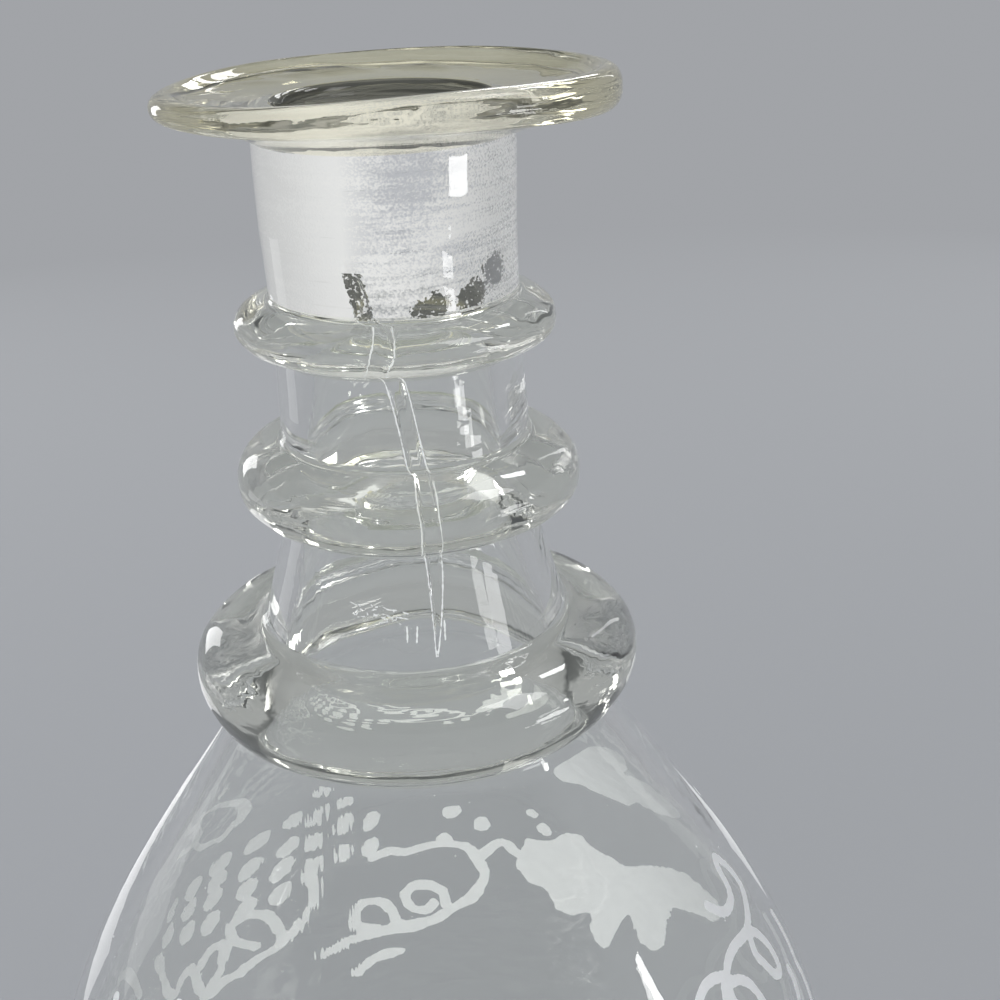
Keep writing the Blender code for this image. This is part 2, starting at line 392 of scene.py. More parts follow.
def bump(tree, height, strength, distance):
    return add_node(tree, "Bump", Height=height, Strength=strength,
                    Distance=distance).outputs["Normal"]


def plain_shader(tree, kind, colour):
    return add_node(tree, kind, Color=(*colour, 1.0)).outputs[0]


def glass_shader(tree, colour, roughness, **inputs):
    return add_node(tree, "BsdfPrincipled", Base_Color=(*colour, 1.0), IOR=GLASS_IOR,
                    Transmission_Weight=1.0, Roughness=roughness, **inputs).outputs[0]


def mix_shaders(tree, share, first, second):
    node = add_node(tree, "MixShader")
    plug_in(tree, node.inputs, (share, first, second))
    return node.outputs[0]


def material(name, build, *values):
    """Material whose surface is the shader that build(tree, *values) makes."""
    made = bpy.data.materials.new(name)
    made.use_nodes = True
    tree = made.node_tree
    tree.nodes.clear()
    add_node(tree, "OutputMaterial", Surface=build(tree, *values))
    return made


def lamps_through(tree, shader, colour):
    """Let lamps shine through glass, dimmed by a colour at each surface."""
    path = add_node(tree, "LightPath")
    clear = plain_shader(tree, "BsdfTransparent", colour)
    for ray in ("Is Diffuse Ray", "Is Shadow Ray"):
        shader = mix_shaders(tree, path.outputs[ray], shader, clear)
    return shader


# Clear glass

# Bands of fine cords on the near side: x of the middle, half width, stretch, fineness, depth
UPRIGHT_CORDS = (-0.0135, 0.0050, (1.0, 0.03, 0.03), 800.0, 0.40)
LEVEL_CORDS = (-0.0040, 0.0130, (0.03, 0.03, 1.0), 900.0, 0.45)
CORDS_FULL_SHARE = 0.5
# (name, tint, strength of the ripple, stretch of the tool marks, their depth beside it, band of cords)
CLEAR_GLASSES = (
    ("vessel_glass", (0.985, 0.99, 0.975), 0.10, (1.3, 1.3, 0.10), 0.08, UPRIGHT_CORDS),
    ("ring_glass", (0.955, 0.965, 0.88), 0.24, (0.20, 0.20, 1.3), 0.60, LEVEL_CORDS),
    ("lip_glass", (0.97, 0.92, 0.66), 0.26, (0.30, 0.30, 1.3), 0.60, None),
)
RIPPLE_DEPTH = 0.0006
# Roughness of the smears: from and to these values of their noise, it goes from and to these
SMEARS_ROUGHNESS = (0.55, 0.80, 0.0, 0.05)
CLEAR_SHADE = (0.985, 0.988, 0.98)


def cord_band(tree, middle, half, stretch, fineness, depth):
    """Height of fine cords in the glass, 0 away from their band."""
    place = axes(tree, object_place(tree))
    away = math_node(tree, "ABSOLUTE", math_node(tree, "SUBTRACT", place["X"], middle))
    share = remap(tree, away, half, CORDS_FULL_SHARE * half, 0.0, depth)
    share = math_node(tree, "MULTIPLY", share, math_node(tree, "LESS_THAN", place["Y"], 0.0))
    return math_node(tree, "MULTIPLY", noise(tree, stretch, fineness), share)


def clear_glass(tree, tint, ripple, drawn, tooling, cords):
    """Old clear glass: a faint tint, uneven polish, and striae that ripple what is behind."""
    marks = noise(tree, drawn, TOOL_MARKS_FINENESS)
    height = math_node(tree, "ADD", noise(tree, *STRIAE), math_node(tree, "MULTIPLY", marks, tooling))
    if cords:
        height = math_node(tree, "ADD", height, cord_band(tree, *cords))
    roughness = remap(tree, noise(tree, *SMEARS), *SMEARS_ROUGHNESS)
    glass = glass_shader(tree, tint, roughness, Normal=bump(tree, height, ripple, RIPPLE_DEPTH))
    return lamps_through(tree, glass, CLEAR_SHADE)


# Ground glass, with painted shade where the grinding missed

# Unground spots of the seat, where the glass is painted dark, a painted shade: (place, reach)
UNGROUND_SPOTS = (
    ((0.0113, -0.0055, 0.2142), 0.0035), ((0.0093, -0.0084, 0.2121), 0.0029),
    ((0.0081, -0.0096, 0.2116), 0.0022), ((0.0048, -0.0115, 0.2116), 0.0027),
    ((0.0032, -0.0121, 0.2111), 0.0023),
)
# A spot fades between these shares of its reach, and is missed and painted dark where fade and ragged noise
# pass a sum
SPOT_FADE_SHARES, SPOT_FADE, SPOT_SUM = (1.05, 0.45), (-0.35, 0.16), 0.53
# Slanting top edge of the grinding, lower on the far side; above it the glass is painted dark, a painted
# shade
GROUND_TOP, GROUND_TOP_SLOPE, GROUND_TOP_RAGGEDNESS = 0.2335, 0.114, 0.0020
# The fold crosses the seat as an unground strip, painted dark: x of its middle at a height, and change of x
# with height
STRIP_X, STRIP_HEIGHT, STRIP_LEAN = -0.0047, 0.2160, -0.206
STRIP_HALF_WIDTH, STRIP_TOP, STRIP_RAGGEDNESS = 0.00105, 0.2163, 0.0012
# The strip is ground after all where the ragged noise is below this
STRIP_FLECKS = 0.43
# The grinding is worn thin on the near side, and densest left of it
WORN_PLACE, WORN_REACH, WORN_CORE_SHARE, WORN_LOSS = (0.0020, -0.0125, 0.2265), 0.0075, 0.3, 0.45
DENSE_SIDE, DENSE_SHARE = (-0.0055, -0.0010), 0.90
# Share of powder that each noise adds over its middle range, and the least and most in all
NOISE_RANGE = (0.38, 0.62)
LINES_SHARE, CLOUD_SHARE, GRAIN_SHARE = (-0.24, 0.24), (0.52, 0.86), (-0.36, 0.36)
LEAST_POWDER_SHARE, MOST_POWDER_SHARE = 0.06, 0.96
# Roughness of the glass under the powder, in the same way by the noise of the lines
LINES_ROUGHNESS = (0.3, 0.7, 0.25, 0.60)
GRAIN_BUMP = (0.6, 0.0002)
POLISHED_ROUGHNESS = 0.04


def unground_painted_dark(tree, ragged):
    """1 where the grinding missed the seat: the fold's strip, ragged spots and above its top edge; there
    the glass is painted dark.
    """
    place = object_place(tree)
    axis = axes(tree, place)
    middle = math_node(tree, "MULTIPLY_ADD", axis["Z"], STRIP_LEAN, STRIP_X - STRIP_LEAN * STRIP_HEIGHT)
    away = math_node(tree, "ABSOLUTE", math_node(tree, "SUBTRACT", axis["X"], middle))
    least_half = STRIP_HALF_WIDTH - STRIP_RAGGEDNESS / 2
    half = math_node(tree, "MULTIPLY_ADD", ragged, STRIP_RAGGEDNESS, least_half)
    missed_painted_dark = math_node(tree, "LESS_THAN", away, half)
    for limit in (math_node(tree, "LESS_THAN", axis["Y"], 0.0),
                  math_node(tree, "LESS_THAN", axis["Z"], STRIP_TOP),
                  math_node(tree, "GREATER_THAN", ragged, STRIP_FLECKS)):
        missed_painted_dark = math_node(tree, "MULTIPLY", missed_painted_dark, limit)
    for spot, reach in UNGROUND_SPOTS:
        far, near = (share * reach for share in SPOT_FADE_SHARES)
        fade = remap(tree, vector_measure(tree, "DISTANCE", place, spot), far, near, *SPOT_FADE)
        spot_painted_dark = math_node(tree, "GREATER_THAN", math_node(tree, "ADD", fade, ragged), SPOT_SUM)
        missed_painted_dark = math_node(tree, "MAXIMUM", missed_painted_dark, spot_painted_dark)
    level = math_node(tree, "MULTIPLY_ADD", axis["Y"], GROUND_TOP_SLOPE, axis["Z"])
    level = math_node(tree, "MULTIPLY_ADD", noise(tree, *GRINDING_EDGE), GROUND_TOP_RAGGEDNESS, level)
    above = math_node(tree, "GREATER_THAN", level, GROUND_TOP + GROUND_TOP_RAGGEDNESS / 2)
    return math_node(tree, "MAXIMUM", missed_painted_dark, above)


def powder_share(tree, lines, grain):
    """How much of the seat is white powder: less where it is worn, and most on its dense side."""
    share = math_node(tree, "ADD", remap(tree, lines, *NOISE_RANGE, *LINES_SHARE),
                      remap(tree, noise(tree, *GRINDING_CLOUD), *NOISE_RANGE, *CLOUD_SHARE))
    share = math_node(tree, "ADD", share, remap(tree, grain, *NOISE_RANGE, *GRAIN_SHARE))
    place = object_place(tree)
    from_worn = vector_measure(tree, "DISTANCE", place, WORN_PLACE)
    worn = remap(tree, from_worn, WORN_REACH, WORN_CORE_SHARE * WORN_REACH, 0.0, WORN_LOSS)
    share = math_node(tree, "SUBTRACT", share, worn)
    dense = remap(tree, axes(tree, place)["X"], *DENSE_SIDE, DENSE_SHARE, 0.0)
    share = math_node(tree, "MAXIMUM", math_node(tree, "MAXIMUM", share, dense), LEAST_POWDER_SHARE)
    return math_node(tree, "MINIMUM", share, MOST_POWDER_SHARE)


def ground_glass_and_painted_shade(tree):
    """Ground glass of the stopper seat: white, with grinding lines round it, worn places, and missed places
    painted dark as painted shade.
    """
    lines, grain = noise(tree, *GRINDING_LINES), noise(tree, *GRINDING_GRAIN)
    roughness = remap(tree, lines, *LINES_ROUGHNESS)
    rough = glass_shader(tree, (0.50, 0.52, 0.58), roughness, Normal=bump(tree, grain, *GRAIN_BUMP))
    white = plain_shader(tree, "BsdfDiffuse", (0.97, 0.955, 0.935))
    glow = plain_shader(tree, "BsdfTranslucent", (0.96, 0.95, 0.93))
    powder = mix_shaders(tree, 0.5, white, glow)
    seat = mix_shaders(tree, powder_share(tree, lines, grain), rough, powder)
    # Painted shade: where the grinding missed, a dark-tinted glass and a near-black diffuse paint the glass
    # dark
    painted_dark_glass = glass_shader(tree, (0.20, 0.20, 0.17), POLISHED_ROUGHNESS)
    painted_shade = plain_shader(tree, "BsdfDiffuse", (0.07, 0.07, 0.06))
    missed_painted_dark = mix_shaders(tree, 0.5, painted_dark_glass, painted_shade)
    seat = mix_shaders(tree, unground_painted_dark(tree, noise(tree, *RAGGED_EDGE)), seat, missed_painted_dark)
    return lamps_through(tree, seat, (0.80, 0.81, 0.82))


def fused_seam(tree):
    """Where two gathers are fused there is no surface, so the seam shows nothing."""
    return add_node(tree, "BsdfPrincipled", Alpha=0.0, Roughness=1.0).outputs[0]


# Vessel

# Swells of the vessel's two sides: (amplitude, phase)
OUTSIDE_SWELL, BORE_SWELL = (0.00022, 0.7), (0.00040, 4.1)


def vessel_swell(theta, height):
    """Unevenness of the vessel's outside."""
    return waves(theta, height, *OUTSIDE_SWELL) * np.clip(height / HEEL_HEIGHT, 0, 1)


def fold_relief(theta, height):
    """How far the fold stands proud of the bore."""
    degrees, heights, halves = np.array(FOLD_STATIONS).T
    level = np.asarray(height) / MM
    half = np.interp(level, heights, halves)
    away = np.abs(np.degrees(theta) - np.interp(level, heights, degrees)) / half
    side = np.clip((1 - away) / FOLD_SIDE_SHARE, 0, 1)
    in_reach = (level > heights[0]) & (level < heights[-1])
    return FOLD_RELIEF * side * side * (3 - 2 * side) * np.clip(half / halves.max() * 2, 0, 1) * in_reach


def bore_swell(theta, height):
    """Unevenness of the vessel's inside: slow swells below the ground seat, and the fold."""
    swells = waves(theta, height, *BORE_SWELL) * np.less(height, SEAT_BOTTOM_HEIGHT)
    return swells - fold_relief(theta, height)


def middles(points):
    """Height of the middle of each span of an outline."""
    return [(start[1] + end[1]) / 2 for start, end in zip(points, points[1:])]


def vessel_mesh(outside, inside, junctions):
    """Closed vessel: underside, outside, neck end, ground seat, bore and floor."""
    under = kick_up_outline()
    finishes = [CLEAR] * len(under)
    for middle in middles(outside):
        finishes.append(SEAM if any(low < middle < high for low, high in junctions) else CLEAR)
    finishes.append(SEAM)
    for middle in middles(inside):
        finishes.append(GROUND if middle > SEAT_BOTTOM_HEIGHT else CLEAR)

    def wobble(theta, radius, height, row):
        if row < len(under):
            return 0.0 * theta, 0.0
        swell = vessel_swell if row < len(under) + len(outside) else bore_swell
        return swell(theta, height), 0.0

    return turned_mesh("decanter_vessel", under + outside + inside, finishes, wobble)


# Rings

# (name, centre height, crest radius, reach up, reach down, fillet)
RINGS = (
    ("lower", LOWER_RING_HEIGHT, 0.0313, 0.0065, 0.0078, 0.0006),
    ("middle", MIDDLE_RING_HEIGHT, 0.0235, 0.0054, 0.0054, 0.0009),
    ("upper", UPPER_RING_HEIGHT, 0.0215, 0.0033, 0.0033, 0.0009),
)
RING_STEPS = 40
RING_SAMPLES = 721
# Unevenness of a ring's back: slow swells, tool marks and fine marks outwards, and swell up and down
RING_SWELL, RING_MARKS, RING_FINE_MARKS, RING_RISE = 0.00045, 0.00016, 0.00007, 0.0004
# Change of the slow swells' pattern from ring to ring
RING_PATTERN_STEP = 0.02


def ring_back(outer, centre, crest, up, down, fillet):
    """Round back of a ring from its lower to its upper junction with the vessel."""
    middle = radius_at(outer, centre)
    angles = np.linspace(-pi / 2, pi / 2, RING_SAMPLES)
    reach = np.where(angles > 0, up, down)
    radius = between(middle, crest, np.cos(angles))
    height = centre + reach * np.sin(angles)
    proud = np.flatnonzero(radius > radius_at(outer, height) + fillet)
    picked = np.linspace(proud[0], proud[-1], RING_STEPS).round().astype(int)
    back = [(float(radius[i]), float(height[i])) for i in picked]
    below = fillet_points(outer, back[0], -fillet)
    above = fillet_points(outer, back[-1], fillet)[::-1]
    return [(radius + SEAM_GAP, height) for radius, height in below + back + above]


def fillet_points(outer, edge, reach):
    """Hollow curve from the vessel's surface up to the edge of a ring's back."""
    foot_height = edge[1] + reach
    foot = (radius_at(outer, foot_height), foot_height)
    corner = (radius_at(outer, edge[1]), edge[1])
    points = []
    for t in shares(FINE):
        u = 1 - t
        points.append(blend((u * u, 2 * u * t, t * t), (foot, corner, edge)))
    return points


def ring_mesh(name, outer, back, phase):
    """Closed ring: its back, then its fused seat; phase gives each ring a pattern of its own."""
    bottom, top = back[0][1], back[-1][1]
    seat = [(radius + SEAM_GAP, height) for radius, height in outer if bottom < height < top][::-1]
    section = back + seat
    finishes = [CLEAR] * (len(back) - 1) + [SEAM] * (len(seat) + 1)
    reach = max(radius for radius, _ in back)
    base = min(radius for radius, _ in section)

    def wobble(theta, radius, height, row):
        if row >= len(back) or row == 0 or row == len(back) - 1:
            return vessel_swell(theta, height), 0.0
        weight = (radius - radius_at(outer, height)) / (reach - base)
        uneven = (waves(theta, RING_PATTERN_STEP * phase, RING_SWELL, phase)
                  + waves(3 * theta, 0.0, RING_MARKS, 2 * phase)
                  + waves(5 * theta, 9 * height, RING_FINE_MARKS, 3 * phase))
        rise = waves(theta, 0.0, RING_RISE, phase + 2)
        return vessel_swell(theta, height) + weight * uneven, weight * rise

    return turned_mesh(name, section, finishes, wobble)


# Etched ornament, drawn on the unrolled body as (degrees round, millimetres up)

# Columns round, heights from and to, and the height of a row; heights, widths and distances in millimetres
BODY_GRID = (960, 42.0, 134.0, 0.36)
BORE_GRID = (1024, 160.0, 230.0, 0.1)
# Distance far from every shape, and how far round a stroke and a shape true distances reach
FAR_AWAY, STROKE_MARGIN, SHAPE_MARGIN = 9.0, 0.6, 1.2
PATH_STEP = 0.6
# Raggedness: how near an edge it acts, the fineness of its two noises, and the share of the second
RAGGED_REACH, RAGGED_FINENESS, RAGGED_DETAIL, RAGGED_DETAIL_SHARE = 0.7, 2.2, 5.1, 0.5
# Least distance of a cut from a corner, as a share of a cell's side
CUT_SHARE = 0.08
# Length below which a run has no direction
TINY = 1e-9
LINE_WIDTH = 1.6
TENDRIL_WIDTH = 2.2
SHOOT_WIDTH = 0.8 * TENDRIL_WIDTH
FROST_EDGE = 0.16
# Specks: heights between, radii between, and how many there are
SPECK_HEIGHTS, SPECK_RADII, SPECK_COUNT = (62, 131), (0.16, 0.27), 170
# Gap of the film to the glass and its thickness, in metres
FILM_GAP, FILM_THICKNESS = 0.000015, 0.00004

# The vine is drawn twice round the body: degrees on and millimetres up of each length
VINE_LENGTHS = ((0.0, 0.0), (-170.0, -9.0))
VINE_LEAVES = (
    ((56, 117), (47, 124), (36, 129), (29, 130.5), (31, 126), (36, 122), (28, 123.5), (19, 124.5),
     (18, 122), (23, 117), (30, 113), (34, 111.5), (39, 110), (41, 110.5), (46, 106.5), (51, 107),
     (57, 108), (61, 106.5), (62, 110.5)),
    ((72, 85.5), (70, 86.5), (67, 87), (63.5, 90), (60.5, 90), (59, 87.5), (56, 86.5), (52.5, 85.5),
     (47, 88), (42, 90), (37, 91), (31, 90), (29, 88.5), (29, 86), (32.5, 82), (35.5, 81.5),
     (39.5, 80.5), (43, 79.5), (44.5, 76), (45.5, 69.5), (48, 67), (50.5, 68), (53, 72.5), (55.5, 68),
     (57.5, 64), (60, 66.5), (60.5, 70.5), (63.5, 69.5), (66.5, 70.5), (67.5, 73.5), (69, 75),
     (72, 76.5), (73.5, 79.5)),
)
VINE_BERRIES = (
    (85, 93.5, 1.9), (79.5, 90, 1.7), (86.5, 86.5, 1.7), (70, 93.5, 1.2), (68, 89.5, 1.4), (12.5, 124, 0.9),
)
# Bunch of grapes: (degrees, heights) of each column
GRAPE_COLUMNS = (
    (145, (95.5, 89.5)), (138.5, (96.5, 91.5, 85.5)), (132.5, (99, 94.5, 90, 84)),
    (126, (100.5, 93.5, 88, 83)), (120, (103, 95, 89.5, 83)), (114, (109.5, 101, 93.5, 86)),
    (107.5, (102.5, 95.5, 87)), (101.5, (94, 87)),
)
GRAPE_RADIUS, GRAPE_TALL, GRAPE_SLANT = 2.1, 1.3, -0.15
VINE_TENDRILS = (
    ((101, 83.5), (97.5, 85), (94, 84), (90, 85), (86, 85.5), (82, 83.5), (80, 79.5), (79.5, 76),
     (81.5, 72), (85, 69.5), (89, 66.5), (94, 65), (98.5, 65), (103.5, 65), (108.5, 64), (112, 63)),
    ((87, 69.5), (87.5, 72.5), (90, 74.5), (93.5, 74.5), (95, 72), (93.5, 69), (91, 68.5), (89.5, 70)),
    ((94.5, 65), (97, 66), (98, 69.5), (101, 72), (104.5, 72), (105.5, 69.5), (104.5, 67), (101, 65.5)),
    ((97, 59.5), (100, 59.5), (103, 58.5), (106, 56.5)),
    ((134.5, 67), (129, 67.5), (124, 68.5), (119.5, 70), (116, 73), (114, 77), (113.5, 81),
     (115.5, 84)),
    ((119.5, 70.5), (119.5, 73), (122, 78.5), (125.5, 81), (128, 81), (128.5, 78.5), (127.5, 75.5),
     (124, 72)),
    ((134.5, 67), (136, 71.5), (134.5, 75), (131.5, 77), (129.5, 75.5), (130.5, 71), (133, 68)),
    ((147.5, 86), (146, 81), (144, 75.5), (142, 73), (139.5, 75), (137.5, 75.5), (136, 72.5),
     (135, 68)),
    ((170, 93.5), (167.5, 96), (163, 95), (159, 91), (155.5, 86.5), (153, 81.5)),
    ((73, 82.5), (76.5, 85), (80, 82)),
)
# Shoot above the grapes, drawn once
SHOOT = (
    ((163, 132), (162, 129.5), (158.5, 125.5), (156, 121), (148.5, 118), (143, 113), (146, 112),
     (152, 113.5)),
    ((148, 120), (141.5, 119), (135.5, 117), (133, 115.5), (131.5, 111), (133, 107.5), (137, 107),
     (141, 108.5), (145, 112.5), (147.5, 116.5), (148, 120)),
)
# Two white oval dots by the shoot: (degrees, millimetres up, radius)
SHOOT_OVALS = ((141.5, 122.5, 1.4), (158, 124.5, 1.8))
NEAR_TENDRILS = (
    ((-28, 124), (-24.5, 121.5), (-20, 121), (-17.5, 122), (-16, 124.5), (-14, 125), (-12, 122.5),
     (-12, 119.5), (-15.5, 118), (-20.5, 117), (-28, 118), (-32.5, 117.5), (-35, 115.5), (-36, 112),
     (-37, 108), (-37.5, 104)),
    ((-20.5, 117), (-23, 114.5), (-22, 112), (-20.5, 109.5), (-18, 109), (-17, 111.5), (-18.5, 115),
     (-21, 116.5)),
    ((-34.5, 117), (-37.5, 118), (-41, 118), (-45, 116), (-46.5, 112), (-44.5, 108.5), (-41, 109.5),
     (-38.5, 113), (-36, 116)),
    ((-35, 116), (-31.5, 115), (-29, 112.5), (-28.5, 108), (-30.5, 105), (-33.5, 106), (-35, 110),
     (-35.5, 114)),
    ((-5.5, 110.5), (-6.5, 106.5), (-8.5, 103.5), (-8.5, 100.5), (-11, 96), (-16, 92.5), (-24, 90),
     (-33, 91), (-41, 95), (-49, 96)),
    ((-14.5, 106.5), (-15, 104.5), (-18, 101.5), (-22, 99), (-24, 95), (-22, 91)),
)


class SurfaceDrawing:
    """Distance from each cell of an unrolled surface to the nearest drawn shape, less than 0 inside."""

    def __init__(self, outline, grid):
        self.columns, low, high, row = grid
        self.outline = outline
        self.step = 360 / self.columns
        self.heights = np.arange(low, high, row)
        self.degrees = np.arange(self.columns) * self.step - 180
        self.radii = self.radius(self.heights)
        self.metres = (self.radii * pi / 180)[:, None]
        self.slopes = np.hypot(1, np.gradient(self.radii, row))[:, None]
        self.field = np.full((len(self.heights), self.columns), FAR_AWAY)

    def radius(self, heights):
        return radius_at(self.outline, heights * MM) / MM

    def window(self, degrees, heights, margin):
        """Rows, columns and unwrapped degrees of the cells near a shape."""
        low, high = min(heights) - margin, max(heights) + margin
        rows = np.flatnonzero((self.heights > low) & (self.heights < high))
        spread = math.degrees(margin / self.radii[rows].min())
        first = math.floor((min(degrees) - spread + 180) / self.step)
        last = math.ceil((max(degrees) + spread + 180) / self.step)
        columns = np.arange(first, last + 1)
        return rows, columns % self.columns, columns * self.step - 180

    def offsets(self, rows, unwrapped, degrees, height):
        """Way on the surface from a place to each cell of a window: across and up."""
        across = (unwrapped[None, :] - degrees) * self.metres[rows]
        return across, (self.heights[rows][:, None] - height) * self.slopes[rows]

    def distances(self, rows, unwrapped, start, end):
        """Distance on the surface from each cell of a window to one straight run."""
        across, up = self.offsets(rows, unwrapped, *start)
        run, rise = (end[0] - start[0]) * self.metres[rows], (end[1] - start[1]) * self.slopes[rows]
        share = np.clip((across * run + up * rise) / (run * run + rise * rise + TINY), 0, 1)
        return np.hypot(across - share * run, up - share * rise)

    def keep(self, rows, columns, values):
        grid = np.ix_(rows, columns)
        self.field[grid] = np.minimum(self.field[grid], values)

    def stroke(self, points, width):
        path = smooth_path(points, False)
        for start, end in zip(path[:-1], path[1:]):
            rows, columns, unwrapped = self.window(*zip(start, end), width + STROKE_MARGIN)
            self.keep(rows, columns, self.distances(rows, unwrapped, start, end) - width / 2)

    def dot(self, degrees, height, radius, tall=1.0, slant=0.0):
        """Oval dot; slant leans it like handwriting."""
        reach = radius * max(tall, 1.0) + SHAPE_MARGIN
        rows, columns, unwrapped = self.window((degrees,), (height,), reach)
        across, up = self.offsets(rows, unwrapped, degrees, height)
        self.keep(rows, columns, np.hypot(across - slant * up, up / tall) - radius)

    def patch(self, points):
        """Filled shape with a smooth closed outline."""
        path = smooth_path(points, True)
        rows, columns, unwrapped = self.window(*zip(*path), SHAPE_MARGIN)
        away = np.full((len(rows), len(columns)), FAR_AWAY)
        inside = np.zeros(away.shape, bool)
        heights = self.heights[rows][:, None]
        for start, end in zip(path, path[1:] + path[:1]):
            away = np.minimum(away, self.distances(rows, unwrapped, start, end))
            crosses = (start[1] > heights) != (end[1] > heights)
            rise = end[1] - start[1] if abs(end[1] - start[1]) > TINY else TINY
            at = start[0] + (heights - start[1]) * (end[0] - start[0]) / rise
            inside ^= crosses & (unwrapped[None, :] < at)
        self.keep(rows, columns, np.where(inside, -away, away))

    def roughen(self, amount):
        """Ragged edge of a hand-ground figure."""
        rows, columns = np.nonzero(np.abs(self.field) < RAGGED_REACH)
        for row, column in zip(rows, columns):
            angle = radians(self.degrees[column])
            radius = self.radii[row]
            place = Vector((radius * cos(angle), radius * sin(angle), self.heights[row]))
            ragged = mathutils.noise.noise(place * RAGGED_FINENESS)
            ragged += RAGGED_DETAIL_SHARE * mathutils.noise.noise(place * RAGGED_DETAIL)
            self.field[row, column] += amount * ragged

    def film_mesh(self, name, swell, gap, thickness):
        """Thin closed sheet of the drawn shapes; a gap below 0 lays it on the inside of the surface."""
        places, sheet = cut_out(self)
        places = np.array(places)
        angle, height = np.radians(places[:, 0]), places[:, 1] * MM
        base = self.radius(places[:, 1]) * MM + swell(angle, height)
        near, far = sorted((gap, gap + math.copysign(thickness, gap)))
        verts = [np.stack([(base + proud) * np.cos(angle), (base + proud) * np.sin(angle), height], 1)
                 for proud in (near, far)]
        count = len(places)
        faces = [face[::-1] for face in sheet] + [tuple(index + count for index in face) for face in sheet]
        edges = {pair for face in sheet for pair in zip(face, face[1:] + face[:1])}
        for start, end in sorted(edges):
            if (end, start) not in edges:
                faces.append((start, end, end + count, start + count))
        return bent_mesh(name, np.vstack(verts), faces, [0] * len(faces))


def cut_out(drawing):
    """Polygons of the inside of a drawing's shapes: places in degrees and millimetres, and faces."""
    values, columns = drawing.field, drawing.columns
    ids, places = {}, []

    def place_at(key, degrees, height):
        if key not in ids:
            ids[key] = len(places)
            places.append((degrees, height))
        return ids[key]

    def corner(row, column):
        column %= columns
        return place_at((row, column), drawing.degrees[column], drawing.heights[row])

    def cut(first, second):
        if first > second:
            first, second = second, first
        key = (first[0], first[1] % columns, second[0], second[1] % columns)
        value, other = values[key[:2]], values[key[2:]]
        share = min(max(value / (value - other), CUT_SHARE), 1 - CUT_SHARE)
        degrees = drawing.degrees[key[1]] + share * (second[1] - first[1]) * drawing.step
        return place_at(key, degrees, between(drawing.heights[first[0]], drawing.heights[second[0]], share))

    inside = values < 0
    right = np.roll(inside, -1, axis=1)
    touched = inside[:-1] | inside[1:] | right[:-1] | right[1:]
    sheet = []
    for row, column in zip(*(part.tolist() for part in np.nonzero(touched))):
        corners = [(row, column), (row, column + 1), (row + 1, column + 1), (row + 1, column)]
        within = [inside[r, c % columns] for r, c in corners]
        outline = []
        following = zip(corners[1:] + corners[:1], within[1:] + within[:1])
        for (here, starts), (there, ends) in zip(zip(corners, within), following):
            if starts:
                outline.append(corner(*here))
            if starts != ends:
                outline.append(cut(here, there))
        if sum(within) == 2 and within[0] == within[2]:
            ring = outline[-1:] + outline[:-1] if within[0] else outline
            sheet += [tuple(ring[:3]), tuple(ring[3:])]
        else:
            sheet.append(tuple(outline))
    return places, sheet


def smooth_path(points, closed):
    """Points of a smooth curve through the given ones, about a step apart."""
    points = [tuple(point) for point in points]
    first, last = (points[-1], points[:2]) if closed else (points[0], points[-1:])
    around = [first, *points, *last]
    path = []
    for before, start, end, after in zip(around, around[1:], around[2:], around[3:]):
        for t in shares(max(2, int(math.dist(start, end) / PATH_STEP))):
            weights = (2 * t * t - t - t ** 3, 2 - 5 * t * t + 3 * t ** 3,
                       t + 4 * t * t - 3 * t ** 3, t ** 3 - t * t)
            path.append(blend([weight / 2 for weight in weights], (before, start, end, after)))
    if not closed:
        path.append(points[-1])
    return path


def draw_vine(drawing, turn, lift):
    """One length of the vine: two leaves, berries, a bunch of grapes and curling tendrils."""
    def moved(points):
        return [(degrees + turn, height + lift) for degrees, height in points]

    for leaf in VINE_LEAVES:
        drawing.patch(moved(leaf))
    for degrees, height, radius in VINE_BERRIES:
        drawing.dot(degrees + turn, height + lift, radius)
    for degrees, heights in GRAPE_COLUMNS:
        for height in heights:
            drawing.dot(degrees + turn, height + lift, GRAPE_RADIUS, GRAPE_TALL, GRAPE_SLANT)
    for tendril in VINE_TENDRILS:
        drawing.stroke(moved(tendril), TENDRIL_WIDTH)


def etched_mesh(outer):
    """Film of the vine ornament on the outside of the body."""
    drawing = SurfaceDrawing(outer, BODY_GRID)
    for turn, lift in VINE_LENGTHS:
        draw_vine(drawing, turn, lift)
    for shoot in SHOOT:
        drawing.stroke(shoot, SHOOT_WIDTH)
    for oval in SHOOT_OVALS:
        drawing.dot(*oval)
    for tendril in NEAR_TENDRILS:
        drawing.stroke(tendril, LINE_WIDTH)
    drawing.roughen(FROST_EDGE)
    chance = np.random.default_rng(11)
    for _ in range(SPECK_COUNT):
        drawing.dot(chance.uniform(-180, 180), chance.uniform(*SPECK_HEIGHTS), chance.uniform(*SPECK_RADII))
    return drawing.film_mesh("decanter_etching", vessel_swell, FILM_GAP, FILM_THICKNESS)


# Painted highlights along the fold's edges, scratches, and painted glint lines inside the neck, as
# (degrees, millimetres up)

FOLD_HIGHLIGHT_WIDTH = 0.15
NECK_RAGGEDNESS = 0.4 * FROST_EDGE
# The first three runs are scratches; the last two are a painted glint line in white frost
SCRATCHES_AND_GLINT_LINES = (
    ((-95, 169), (-95, 167)), ((-90.5, 169), (-91, 167)), ((-78.5, 169.5), (-79, 167)),
    ((-170, 228.5), (-160, 228), (-150, 226.5), (-141, 226)), ((-139.5, 226.5), (-137, 225.5)),
)
SCRATCH_AND_GLINT_WIDTH = 0.20
# Scuffed patch: its middle and reach, and the number, longest run and width of its marks
SCUFF_PLACE, SCUFF_REACH, SCUFF_COUNT, SCUFF_RUN = (-108, 170.5), (11.5, 0.9), 34, (4.0, 0.35)
SCUFF_WIDTH = 0.6 * SCRATCH_AND_GLINT_WIDTH


